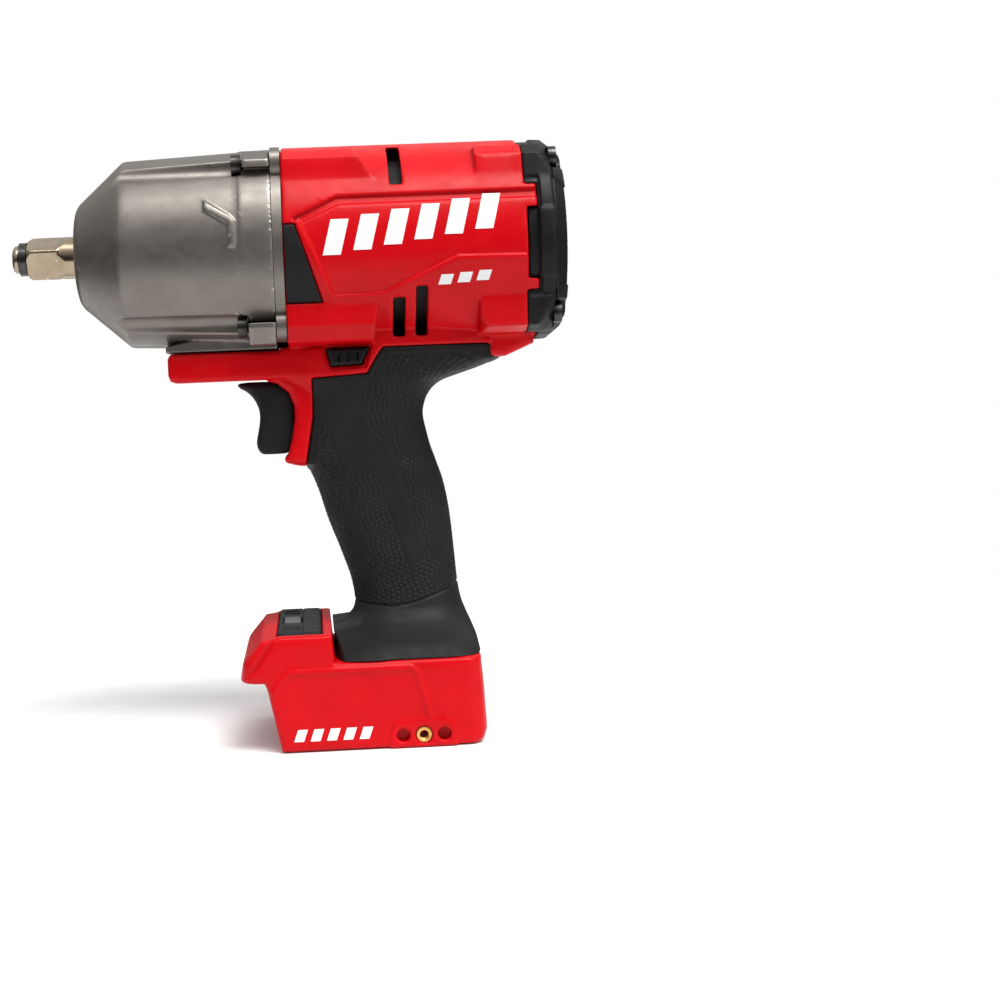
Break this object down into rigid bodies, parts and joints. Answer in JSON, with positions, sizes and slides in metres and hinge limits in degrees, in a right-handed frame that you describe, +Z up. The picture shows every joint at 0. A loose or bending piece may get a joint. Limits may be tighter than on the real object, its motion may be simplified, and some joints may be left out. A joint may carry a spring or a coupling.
{
  "type": "cordless impact wrench",
  "caption": "Cordless impact wrench with a half-inch square drive, hammer mechanism, planetary gearbox, brushless motor, pistol grip and an open battery bay.",
  "frame": {"origin": "on the drive axis, where the back face of a socket seats against the anvil's round neck", "axes": "-X along the drive axis out of the nose, +Z up, +Y to the tool's right-hand side"},
  "size_m": [0.2113, 0.0774, 0.2256],
  "materials": {
    "red_plastic": "satin moulded nylon",
    "rubber": "soft overmould",
    "black_plastic": "moulded",
    "grey_plastic": "moulded",
    "cast_case": "warm grey coat on die casting",
    "steel": "ground",
    "dark_steel": "oiled and hardened",
    "nickel": "nickel plated",
    "bronze": "sintered",
    "brass": "turned",
    "copper": "enamelled wire",
    "laminations": "stacked",
    "magnet": "plated",
    "board": "solder mask",
    "lens": "clear moulding",
    "spring": "shot peened",
    "wire": "silicone jacket"
  },
  "bodies": {
    "housing": {"left_housing": "red_plastic", "right_housing": "red_plastic", "left_grip": "rubber", "right_grip": "rubber", "left_bumper": "rubber", "right_bumper": "rubber", "gear_case": "cast_case", "gear_case_screws": "dark_steel", "gearbox_cover": "cast_case", "nose_bushing": "bronze", "nose_seal": "rubber", "ring_gear": "dark_steel", "carrier_bearing": "steel", "front_motor_bearing": "steel", "rear_motor_bearing": "steel", "stator_core": "laminations", "stator_coils": "copper", "sensor_board": "board", "rear_cap": "black_plastic", "rear_cap_screws": "dark_steel", "rear_badge": "red_plastic", "housing_screws": "dark_steel", "light_lens": "lens", "light_board": "board", "switch_module": "black_plastic", "control_module": "black_plastic", "control_panel": "black_plastic", "panel_board": "board", "terminal_block": "black_plastic", "terminal_blades": "brass", "left_clip_insert": "brass", "right_clip_insert": "brass", "motor_leads": "wire", "trigger_spring": "spring"},
    "carrier": {"cam_shaft": "steel", "planet_pins": "steel", "cam_balls": "steel", "hammer_spring": "spring"},
    "washer": {"spring_washer": "steel", "thrust_balls": "steel"},
    "hammer": {"hammer": "dark_steel"},
    "planet_1": {"planet_gear_1": "dark_steel"},
    "planet_2": {"planet_gear_2": "dark_steel"},
    "planet_3": {"planet_gear_3": "dark_steel"},
    "rotor": {"rotor_shaft": "steel", "rotor_core": "laminations", "rotor_magnets": "magnet", "fan": "black_plastic"},
    "anvil": {"anvil": "nickel", "friction_ring": "dark_steel", "friction_o_ring": "rubber"},
    "trigger": {"trigger": "black_plastic"},
    "direction_lever": {"direction_lever": "black_plastic"},
    "mode_button": {"mode_button": "grey_plastic"}
  },
  "joints": [
    {"name": "drive_spin", "type": "hinge", "parent": "housing", "child": "carrier", "pos_m": [0, 0, 0], "axis": [-1, 0, 0], "continuous": true},
    {"name": "planet_1_spin", "type": "hinge", "parent": "carrier", "child": "planet_1", "pos_m": [0, 0, -0.015], "axis": [-1, 0, 0], "continuous": true},
    {"name": "planet_2_spin", "type": "hinge", "parent": "carrier", "child": "planet_2", "pos_m": [0, 0.01299, 0.0075], "axis": [-1, 0, 0], "continuous": true},
    {"name": "planet_3_spin", "type": "hinge", "parent": "carrier", "child": "planet_3", "pos_m": [0, -0.01299, 0.0075], "axis": [-1, 0, 0], "continuous": true},
    {"name": "rotor_spin", "type": "hinge", "parent": "housing", "child": "rotor", "pos_m": [0, 0, 0], "axis": [-1, 0, 0], "continuous": true},
    {"name": "anvil_spin", "type": "hinge", "parent": "housing", "child": "anvil", "pos_m": [0, 0, 0], "axis": [-1, 0, 0], "continuous": true},
    {"name": "hammer_retract", "type": "slide", "parent": "carrier", "child": "washer", "axis": [1, 0, 0], "range_m": [0, 0.0095], "stiffness_N_per_m": 15000, "springref_m": -0.01, "deforming": ["hammer_spring"]},
    {"name": "hammer_turn", "type": "hinge", "parent": "washer", "child": "hammer", "pos_m": [0, 0, 0], "axis": [-1, 0, 0], "range_deg": [-61, 1]},
    {"name": "trigger_pull", "type": "slide", "parent": "housing", "child": "trigger", "axis": [1, 0, 0], "range_m": [0, 0.007], "stiffness_N_per_m": 600, "springref_m": -0.006, "deforming": ["trigger_spring"]},
    {"name": "direction_slide", "type": "slide", "parent": "housing", "child": "direction_lever", "axis": [0, 1, 0], "range_m": [-0.003, 0.003]},
    {"name": "mode_button_press", "type": "slide", "parent": "housing", "child": "mode_button", "axis": [0, 0, -1], "range_m": [0, 0.0008], "stiffness_N_per_m": 500, "springref_m": -0.001}
  ],
  "couplings": [
    {"joint": "planet_1_spin", "follows": "drive_spin", "ratio": -2.6667},
    {"joint": "planet_2_spin", "follows": "drive_spin", "ratio": -2.6667},
    {"joint": "planet_3_spin", "follows": "drive_spin", "ratio": -2.6667},
    {"joint": "rotor_spin", "follows": "drive_spin", "ratio": 5},
    {"joint": "anvil_spin", "follows": "drive_spin", "ratio": 1},
    {"joint": "hammer_turn", "follows": "hammer_retract", "rad_per_m": -111.18}
  ]
}
